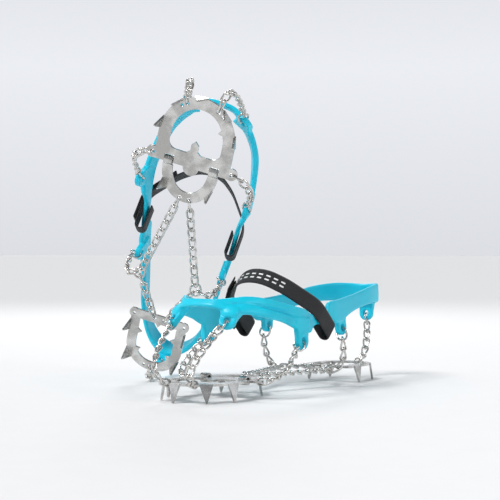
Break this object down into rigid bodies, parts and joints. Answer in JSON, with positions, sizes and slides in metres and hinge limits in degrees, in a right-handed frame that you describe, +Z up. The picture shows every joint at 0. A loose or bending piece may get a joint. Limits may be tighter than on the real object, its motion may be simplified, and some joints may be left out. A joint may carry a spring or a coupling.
{
  "type": "shoe ice cleats",
  "caption": "Pair of slip-on ice cleats: stretch harness, instep strap, spiked steel plates and twisted chains, one standing on its spikes and one upright.",
  "frame": {"origin": "on the floor under the middle of the pair's overall box", "axes": "+Y towards the toe of the cleat that stands on its spikes, +X to its wearer's right, +Z up"},
  "size_m": [0.2474, 0.332, 0.2902],
  "materials": {
    "harness_rubber": "satin",
    "webbing": "woven",
    "hook_tape": "matte",
    "plate_steel": "brushed",
    "chain_steel": "polished"
  },
  "bodies": {
    "cleat_a": {"harness_a": "harness_rubber", "strap_a": "webbing", "toe_ring_plate_a": "plate_steel", "heel_plate_a": "plate_steel"},
    "half_ring_a": {"half_ring_plate_a": "plate_steel"},
    "strap_tail_a": {"strap_tail_a": "webbing", "hook_patch_a": "hook_tape"},
    "toe_chain_left_a": {"toe_chain_left_a": "chain_steel"},
    "ball_chain_left_a": {"ball_chain_left_a": "chain_steel"},
    "arch_chain_left_a": {"arch_chain_left_a": "chain_steel"},
    "side_chain_left_a": {"side_chain_left_a": "chain_steel"},
    "heel_chain_left_a": {"heel_chain_left_a": "chain_steel"},
    "toe_chain_right_a": {"toe_chain_right_a": "chain_steel"},
    "ball_chain_right_a": {"ball_chain_right_a": "chain_steel"},
    "arch_chain_right_a": {"arch_chain_right_a": "chain_steel"},
    "side_chain_right_a": {"side_chain_right_a": "chain_steel"},
    "heel_chain_right_a": {"heel_chain_right_a": "chain_steel"},
    "back_chain_a": {"back_chain_a": "chain_steel"},
    "cleat_b": {"harness_b": "harness_rubber", "strap_b": "webbing", "toe_ring_plate_b": "plate_steel", "heel_plate_b": "plate_steel"},
    "half_ring_b": {"half_ring_plate_b": "plate_steel"},
    "strap_tail_b": {"strap_tail_b": "webbing", "hook_patch_b": "hook_tape"},
    "toe_chain_left_b": {"toe_chain_left_b": "chain_steel"},
    "ball_chain_left_b": {"ball_chain_left_b": "chain_steel"},
    "arch_chain_left_b": {"arch_chain_left_b": "chain_steel"},
    "side_chain_left_b": {"side_chain_left_b": "chain_steel"},
    "heel_chain_left_b": {"heel_chain_left_b": "chain_steel"},
    "toe_chain_right_b": {"toe_chain_right_b": "chain_steel"},
    "ball_chain_right_b": {"ball_chain_right_b": "chain_steel"},
    "arch_chain_right_b": {"arch_chain_right_b": "chain_steel"},
    "side_chain_right_b": {"side_chain_right_b": "chain_steel"},
    "heel_chain_right_b": {"heel_chain_right_b": "chain_steel"},
    "back_chain_b": {"back_chain_b": "chain_steel"}
  },
  "joints": [
    {"name": "half_ring_hinge_a", "type": "hinge", "parent": "cleat_a", "child": "half_ring_a", "pos_m": [-0.0621, 0.08765, 0.016], "axis": [1, 0, 0], "range_deg": [-12, 12]},
    {"name": "strap_tail_peel_a", "type": "hinge", "parent": "cleat_a", "child": "strap_tail_a", "pos_m": [-0.0068, -0.00583, 0.06075], "axis": [0, 0.6947, -0.7193], "range_deg": [0, 12]},
    {"name": "toe_chain_left_twist_a", "type": "hinge", "parent": "cleat_a", "child": "toe_chain_left_a", "pos_m": [-0.07731, 0.14853, 0.016], "axis": [-0.2344, -0.4097, 0.8816], "range_deg": [-6, 6]},
    {"name": "ball_chain_left_twist_a", "type": "hinge", "parent": "cleat_a", "child": "ball_chain_left_a", "pos_m": [-0.10204, 0.09073, 0.016], "axis": [-0.245, -0.7875, 0.5655], "range_deg": [-6, 6]},
    {"name": "arch_chain_left_pivot_a", "type": "hinge", "parent": "half_ring_a", "child": "arch_chain_left_a", "pos_m": [-0.0667, 0.05405, 0.016], "axis": [1, 0, 0], "range_deg": [-17, 17]},
    {"name": "side_chain_left_twist_a", "type": "hinge", "parent": "cleat_a", "child": "side_chain_left_a", "pos_m": [-0.09407, -0.03749, 0.016], "axis": [-0.2758, -0.0455, 0.9601], "range_deg": [-4, 4]},
    {"name": "heel_chain_left_twist_a", "type": "hinge", "parent": "cleat_a", "child": "heel_chain_left_a", "pos_m": [-0.08962, -0.04011, 0.016], "axis": [0.4832, -0.8755, 0], "range_deg": [-6, 6]},
    {"name": "toe_chain_right_twist_a", "type": "hinge", "parent": "cleat_a", "child": "toe_chain_right_a", "pos_m": [-0.04688, 0.14853, 0.016], "axis": [0.2344, -0.4097, 0.8816], "range_deg": [-6, 6]},
    {"name": "ball_chain_right_twist_a", "type": "hinge", "parent": "cleat_a", "child": "ball_chain_right_a", "pos_m": [-0.02216, 0.09073, 0.016], "axis": [0.245, -0.7875, 0.5655], "range_deg": [-6, 6]},
    {"name": "arch_chain_right_pivot_a", "type": "hinge", "parent": "half_ring_a", "child": "arch_chain_right_a", "pos_m": [-0.0575, 0.05405, 0.016], "axis": [1, 0, 0], "range_deg": [-17, 17]},
    {"name": "side_chain_right_twist_a", "type": "hinge", "parent": "cleat_a", "child": "side_chain_right_a", "pos_m": [-0.03013, -0.03749, 0.016], "axis": [0.2758, -0.0455, 0.9601], "range_deg": [-4, 4]},
    {"name": "heel_chain_right_twist_a", "type": "hinge", "parent": "cleat_a", "child": "heel_chain_right_a", "pos_m": [-0.03458, -0.04011, 0.016], "axis": [-0.4832, -0.8755, 0], "range_deg": [-6, 6]},
    {"name": "back_chain_twist_a", "type": "hinge", "parent": "cleat_a", "child": "back_chain_a", "pos_m": [-0.0621, -0.13785, 0.016], "axis": [0, -0.4092, 0.9125], "range_deg": [-6, 6]},
    {"name": "cleat_b_apart", "type": "slide", "parent": "cleat_a", "child": "cleat_b", "axis": [1, 0, 0], "range_m": [0, 0.12]},
    {"name": "half_ring_hinge_b", "type": "hinge", "parent": "cleat_b", "child": "half_ring_b", "pos_m": [-0.02337, 0.08822, 0.21001], "axis": [0.8432, 0.4478, 0.2974], "range_deg": [-12, 12]},
    {"name": "strap_tail_peel_b", "type": "hinge", "parent": "cleat_b", "child": "strap_tail_b", "pos_m": [0.07813, 0.05119, 0.16392], "axis": [-0.5286, 0.7912, 0.3074], "range_deg": [0, 60]},
    {"name": "toe_chain_left_twist_b", "type": "hinge", "parent": "cleat_b", "child": "toe_chain_left_b", "pos_m": [-0.06284, 0.09662, 0.25808], "axis": [0.257, -0.9642, -0.065], "range_deg": [-6, 6]},
    {"name": "ball_chain_left_twist_b", "type": "hinge", "parent": "cleat_b", "child": "ball_chain_left_b", "pos_m": [-0.0584, 0.0711, 0.2008], "axis": [0.3146, -0.7921, -0.5231], "range_deg": [-6, 6]},
    {"name": "arch_chain_left_pivot_b", "type": "hinge", "parent": "half_ring_b", "child": "arch_chain_left_b", "pos_m": [-0.01255, 0.07776, 0.17962], "axis": [0.8432, 0.4478, 0.2974], "range_deg": [-17, 17]},
    {"name": "side_chain_left_twist_b", "type": "hinge", "parent": "cleat_b", "child": "side_chain_left_b", "pos_m": [0.00441, 0.04261, 0.09242], "axis": [0.0873, -0.9591, 0.2692], "range_deg": [-4, 4]},
    {"name": "heel_chain_left_twist_b", "type": "hinge", "parent": "cleat_b", "child": "heel_chain_left_b", "pos_m": [0.00932, 0.04395, 0.09147], "axis": [0.7905, -0.0025, -0.6125], "range_deg": [-6, 6]},
    {"name": "toe_chain_right_twist_b", "type": "hinge", "parent": "cleat_b", "child": "toe_chain_right_b", "pos_m": [-0.03717, 0.11025, 0.26713], "axis": [0.6523, -0.7543, 0.0744], "range_deg": [-6, 6]},
    {"name": "ball_chain_right_twist_b", "type": "hinge", "parent": "cleat_b", "child": "ball_chain_right_b", "pos_m": [0.00896, 0.10687, 0.22455], "axis": [0.7278, -0.5726, -0.3773], "range_deg": [-6, 6]},
    {"name": "arch_chain_right_pivot_b", "type": "hinge", "parent": "half_ring_b", "child": "arch_chain_right_b", "pos_m": [-0.00479, 0.08188, 0.18236], "axis": [0.8432, 0.4478, 0.2974], "range_deg": [-17, 17]},
    {"name": "side_chain_right_twist_b", "type": "hinge", "parent": "cleat_b", "child": "side_chain_right_b", "pos_m": [0.05833, 0.07125, 0.11143], "axis": [0.5525, -0.7121, 0.4333], "range_deg": [-4, 4]},
    {"name": "heel_chain_right_twist_b", "type": "hinge", "parent": "cleat_b", "child": "heel_chain_right_b", "pos_m": [0.05573, 0.0686, 0.10784], "axis": [-0.0245, -0.4353, -0.8999], "range_deg": [-6, 6]},
    {"name": "back_chain_twist_b", "type": "hinge", "parent": "cleat_b", "child": "back_chain_b", "pos_m": [0.07528, 0.03183, 0.01523], "axis": [0.4641, -0.8856, 0.0177], "range_deg": [-6, 6]}
  ],
  "couplings": [
    {"joint": "arch_chain_left_pivot_a", "follows": "half_ring_hinge_a", "ratio": -1.3522},
    {"joint": "arch_chain_right_pivot_a", "follows": "half_ring_hinge_a", "ratio": -1.3522},
    {"joint": "arch_chain_left_pivot_b", "follows": "half_ring_hinge_b", "ratio": -1.3522},
    {"joint": "arch_chain_right_pivot_b", "follows": "half_ring_hinge_b", "ratio": -1.3522}
  ]
}
